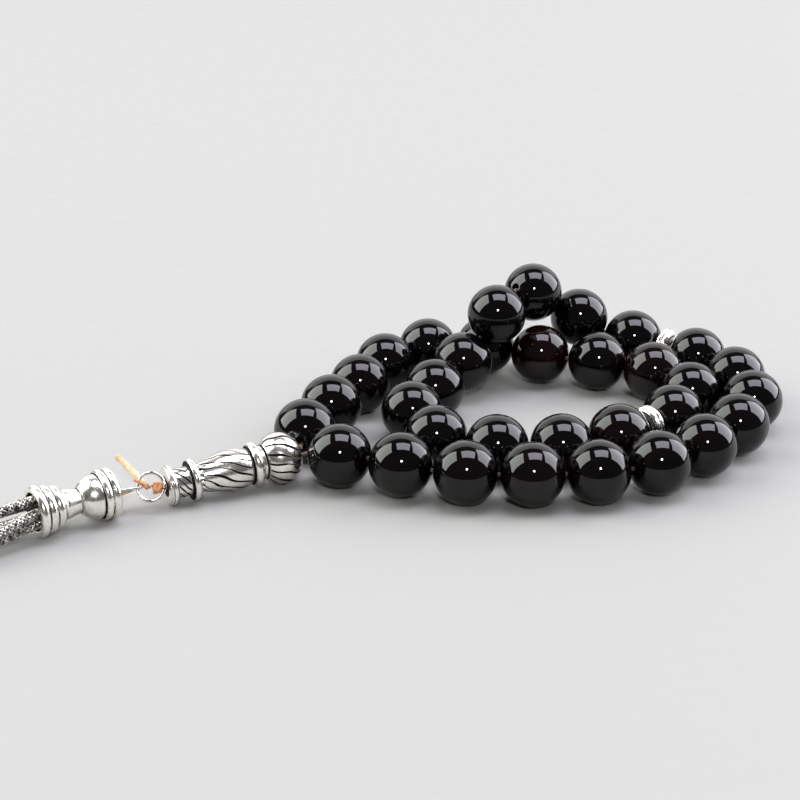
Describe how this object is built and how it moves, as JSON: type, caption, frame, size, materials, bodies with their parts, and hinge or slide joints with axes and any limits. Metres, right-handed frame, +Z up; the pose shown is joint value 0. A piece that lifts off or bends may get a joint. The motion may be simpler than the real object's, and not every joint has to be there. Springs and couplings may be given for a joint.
{
  "type": "misbaha prayer beads",
  "caption": "Loop of polished black stone prayer beads with disc dividers, a long cast metal terminal, a jump ring and a metal cap with a tassel of knitted wire strands",
  "frame": {"origin": "on the table under the middle of the beads, terminal and tassel cap", "axes": "+Z up from the table, +X along the loop away from the tassel"},
  "size_m": [0.1788, 0.1092, 0.0192],
  "materials": {
    "polished_agate": "high polish",
    "antique_silver": "cast, with blackened recesses",
    "bright_wire": "drawn and polished",
    "knitted_wire": "oxidised knitted wire",
    "waxed_thread": "waxed",
    "epoxy": "cast"
  },
  "bodies": {
    "string": {"bead_string": "waxed_thread", "stop_knot": "waxed_thread", "tie_knot": "waxed_thread", "thread_tail": "waxed_thread"},
    "terminal": {"terminal": "antique_silver"},
    "jump_ring": {"jump_ring": "bright_wire"},
    "tassel": {"tassel_cap": "antique_silver", "cap_eyelet": "bright_wire", "cap_thread": "waxed_thread", "strand_plug": "epoxy"},
    "strand_1": {"strand_1": "knitted_wire", "strand_tip_1": "antique_silver"},
    "strand_2": {"strand_2": "knitted_wire", "strand_tip_2": "antique_silver"},
    "strand_3": {"strand_3": "knitted_wire", "strand_tip_3": "antique_silver"},
    "strand_4": {"strand_4": "knitted_wire", "strand_tip_4": "antique_silver"},
    "strand_5": {"strand_5": "knitted_wire", "strand_tip_5": "antique_silver"},
    "divider_1": {"divider_1": "antique_silver"},
    "divider_2": {"divider_2": "antique_silver"},
    "bead_01": {"bead_01": "polished_agate"},
    "bead_02": {"bead_02": "polished_agate"},
    "bead_03": {"bead_03": "polished_agate"},
    "bead_04": {"bead_04": "polished_agate"},
    "bead_05": {"bead_05": "polished_agate"},
    "bead_06": {"bead_06": "polished_agate"},
    "bead_07": {"bead_07": "polished_agate"},
    "bead_08": {"bead_08": "polished_agate"},
    "bead_09": {"bead_09": "polished_agate"},
    "bead_10": {"bead_10": "polished_agate"},
    "bead_11": {"bead_11": "polished_agate"},
    "bead_12": {"bead_12": "polished_agate"},
    "bead_13": {"bead_13": "polished_agate"},
    "bead_14": {"bead_14": "polished_agate"},
    "bead_15": {"bead_15": "polished_agate"},
    "bead_16": {"bead_16": "polished_agate"},
    "bead_17": {"bead_17": "polished_agate"},
    "bead_18": {"bead_18": "polished_agate"},
    "bead_19": {"bead_19": "polished_agate"},
    "bead_20": {"bead_20": "polished_agate"},
    "bead_21": {"bead_21": "polished_agate"},
    "bead_22": {"bead_22": "polished_agate"},
    "bead_23": {"bead_23": "polished_agate"},
    "bead_24": {"bead_24": "polished_agate"},
    "bead_25": {"bead_25": "polished_agate"},
    "bead_26": {"bead_26": "polished_agate"},
    "bead_27": {"bead_27": "polished_agate"},
    "bead_28": {"bead_28": "polished_agate"},
    "bead_29": {"bead_29": "polished_agate"},
    "bead_30": {"bead_30": "polished_agate"},
    "bead_31": {"bead_31": "polished_agate"},
    "bead_32": {"bead_32": "polished_agate"},
    "bead_33": {"bead_33": "polished_agate"}
  },
  "joints": [
    {"name": "terminal_spin", "type": "hinge", "parent": "string", "child": "terminal", "pos_m": [-0.039, -0.02365, 0.0032], "axis": [0.8978, 0.4379, 0.0471], "continuous": true},
    {"name": "jump_ring_swing", "type": "hinge", "parent": "string", "child": "jump_ring", "pos_m": [-0.04306, -0.02498, 0.004], "axis": [-0.0911, -0.4288, -0.8988], "range_deg": [0, 50]},
    {"name": "tassel_swing", "type": "hinge", "parent": "string", "child": "tassel", "pos_m": [-0.04306, -0.02498, 0.004], "axis": [0, 0, 1], "range_deg": [-20, 20]},
    {"name": "strand_sway_1", "type": "hinge", "parent": "tassel", "child": "strand_1", "pos_m": [-0.055, -0.03446, 0.00456], "axis": [0, 0, 1], "range_deg": [-2, 2]},
    {"name": "strand_sway_2", "type": "hinge", "parent": "tassel", "child": "strand_2", "pos_m": [-0.05534, -0.03391, 0.00254], "axis": [0, 0, 1], "range_deg": [-2, 2]},
    {"name": "strand_sway_3", "type": "hinge", "parent": "tassel", "child": "strand_3", "pos_m": [-0.05591, -0.03301, 0.0058], "axis": [0, 0, 1], "range_deg": [-2, 2]},
    {"name": "strand_sway_4", "type": "hinge", "parent": "tassel", "child": "strand_4", "pos_m": [-0.05647, -0.03211, 0.00254], "axis": [0, 0, 1], "range_deg": [-2, 2]},
    {"name": "strand_sway_5", "type": "hinge", "parent": "tassel", "child": "strand_5", "pos_m": [-0.05681, -0.03156, 0.00456], "axis": [0, 0, 1], "range_deg": [-2, 2]},
    {"name": "divider_spin_1", "type": "hinge", "parent": "string", "child": "divider_1", "pos_m": [0.04279, 0.02709, 0.00516], "axis": [-0.8268, 0.5608, 0.0444], "continuous": true},
    {"name": "divider_spin_2", "type": "hinge", "parent": "string", "child": "divider_2", "pos_m": [0.03598, -0.00536, 0.00497], "axis": [0.7718, 0.6359, 0.0066], "continuous": true},
    {"name": "bead_spin_01", "type": "hinge", "parent": "string", "child": "bead_01", "pos_m": [-0.01282, -0.01658, 0.00501], "axis": [0.9081, -0.4054, 0.1052], "continuous": true},
    {"name": "bead_spin_02", "type": "hinge", "parent": "string", "child": "bead_02", "pos_m": [-0.00337, -0.02018, 0.00521], "axis": [0.9502, -0.3063, -0.0579], "continuous": true},
    {"name": "bead_spin_03", "type": "hinge", "parent": "string", "child": "bead_03", "pos_m": [0.00646, -0.02258, 0.005], "axis": [0.9868, -0.1613, 0.0119], "continuous": true},
    {"name": "bead_spin_04", "type": "hinge", "parent": "string", "child": "bead_04", "pos_m": [0.01656, -0.02322, 0.005], "axis": [0.9994, 0.0323, -0.0093], "continuous": true},
    {"name": "bead_spin_05", "type": "hinge", "parent": "string", "child": "bead_05", "pos_m": [0.02664, -0.02231, 0.00501], "axis": [0.9889, 0.1484, 0.0097], "continuous": true},
    {"name": "bead_spin_06", "type": "hinge", "parent": "string", "child": "bead_06", "pos_m": [0.03624, -0.01911, 0.005], "axis": [0.8765, 0.4812, -0.0109], "continuous": true},
    {"name": "bead_spin_07", "type": "hinge", "parent": "string", "child": "bead_07", "pos_m": [0.04413, -0.01277, 0.005], "axis": [0.6641, 0.7475, 0.0115], "continuous": true},
    {"name": "bead_spin_08", "type": "hinge", "parent": "string", "child": "bead_08", "pos_m": [0.05044, -0.00486, 0.005], "axis": [0.5814, 0.8135, -0.0129], "continuous": true},
    {"name": "bead_spin_09", "type": "hinge", "parent": "string", "child": "bead_09", "pos_m": [0.05417, 0.00455, 0.005], "axis": [0.1114, 0.9936, 0.0168], "continuous": true},
    {"name": "bead_spin_10", "type": "hinge", "parent": "string", "child": "bead_10", "pos_m": [0.05294, 0.0146, 0.00503], "axis": [-0.3199, 0.9473, -0.0166], "continuous": true},
    {"name": "bead_spin_11", "type": "hinge", "parent": "string", "child": "bead_11", "pos_m": [0.04754, 0.02315, 0.005], "axis": [-0.7426, 0.6695, 0.0187], "continuous": true},
    {"name": "bead_spin_12", "type": "hinge", "parent": "string", "child": "bead_12", "pos_m": [0.03727, 0.02979, 0.00562], "axis": [-0.9197, 0.3832, 0.0856], "continuous": true},
    {"name": "bead_spin_13", "type": "hinge", "parent": "string", "child": "bead_13", "pos_m": [0.02795, 0.03207, 0.00881], "axis": [-0.8389, 0.1392, 0.5262], "continuous": true},
    {"name": "bead_spin_14", "type": "hinge", "parent": "string", "child": "bead_14", "pos_m": [0.0196, 0.03017, 0.01421], "axis": [-0.6593, -0.6335, 0.405], "continuous": true},
    {"name": "bead_spin_15", "type": "hinge", "parent": "string", "child": "bead_15", "pos_m": [0.013, 0.02256, 0.01312], "axis": [-0.5697, -0.5221, -0.6347], "continuous": true},
    {"name": "bead_spin_16", "type": "hinge", "parent": "string", "child": "bead_16", "pos_m": [0.00714, 0.01807, 0.00621], "axis": [-0.5472, -0.6094, -0.5738], "continuous": true},
    {"name": "bead_spin_17", "type": "hinge", "parent": "string", "child": "bead_17", "pos_m": [0.00226, 0.0093, 0.005], "axis": [-0.4495, -0.8715, 0.1959], "continuous": true},
    {"name": "bead_spin_18", "type": "hinge", "parent": "string", "child": "bead_18", "pos_m": [-0.00155, -0.00007, 0.00507], "axis": [-0.1421, -0.9835, -0.1119], "continuous": true},
    {"name": "bead_spin_19", "type": "hinge", "parent": "string", "child": "bead_19", "pos_m": [0.00215, -0.00949, 0.005], "axis": [0.7513, -0.6575, 0.0576], "continuous": true},
    {"name": "bead_spin_20", "type": "hinge", "parent": "string", "child": "bead_20", "pos_m": [0.0116, -0.01311, 0.00501], "axis": [0.997, -0.0691, -0.0362], "continuous": true},
    {"name": "bead_spin_21", "type": "hinge", "parent": "string", "child": "bead_21", "pos_m": [0.02172, -0.01286, 0.005], "axis": [0.9906, 0.1348, 0.0212], "continuous": true},
    {"name": "bead_spin_22", "type": "hinge", "parent": "string", "child": "bead_22", "pos_m": [0.03111, -0.00907, 0.005], "axis": [0.8052, 0.5929, -0.0102], "continuous": true},
    {"name": "bead_spin_23", "type": "hinge", "parent": "string", "child": "bead_23", "pos_m": [0.04053, -0.00126, 0.005], "axis": [0.7308, 0.6825, 0.0047], "continuous": true},
    {"name": "bead_spin_24", "type": "hinge", "parent": "string", "child": "bead_24", "pos_m": [0.04454, 0.00803, 0.005], "axis": [-0.0771, 0.997, -0.0025], "continuous": true},
    {"name": "bead_spin_25", "type": "hinge", "parent": "string", "child": "bead_25", "pos_m": [0.0394, 0.01675, 0.005], "axis": [-0.78, 0.6258, 0.0009], "continuous": true},
    {"name": "bead_spin_26", "type": "hinge", "parent": "string", "child": "bead_26", "pos_m": [0.03035, 0.02128, 0.005], "axis": [-0.9754, 0.2204, 0.0006], "continuous": true},
    {"name": "bead_spin_27", "type": "hinge", "parent": "string", "child": "bead_27", "pos_m": [0.02074, 0.02444, 0.005], "axis": [-0.8945, 0.4471, -0.0021], "continuous": true},
    {"name": "bead_spin_28", "type": "hinge", "parent": "string", "child": "bead_28", "pos_m": [0.01143, 0.02841, 0.005], "axis": [-0.9599, 0.2802, 0.0036], "continuous": true},
    {"name": "bead_spin_29", "type": "hinge", "parent": "string", "child": "bead_29", "pos_m": [0.00135, 0.02753, 0.00501], "axis": [-0.8996, -0.4366, -0.0046], "continuous": true},
    {"name": "bead_spin_30", "type": "hinge", "parent": "string", "child": "bead_30", "pos_m": [-0.00605, 0.02062, 0.005], "axis": [-0.5151, -0.8571, 0.0066], "continuous": true},
    {"name": "bead_spin_31", "type": "hinge", "parent": "string", "child": "bead_31", "pos_m": [-0.01018, 0.01139, 0.005], "axis": [-0.3011, -0.9535, -0.0109], "continuous": true},
    {"name": "bead_spin_32", "type": "hinge", "parent": "string", "child": "bead_32", "pos_m": [-0.0147, 0.00233, 0.00516], "axis": [-0.5854, -0.8093, 0.0487], "continuous": true},
    {"name": "bead_spin_33", "type": "hinge", "parent": "string", "child": "bead_33", "pos_m": [-0.01851, -0.00704, 0.005], "axis": [-0.1034, -0.9902, -0.094], "continuous": true}
  ]
}
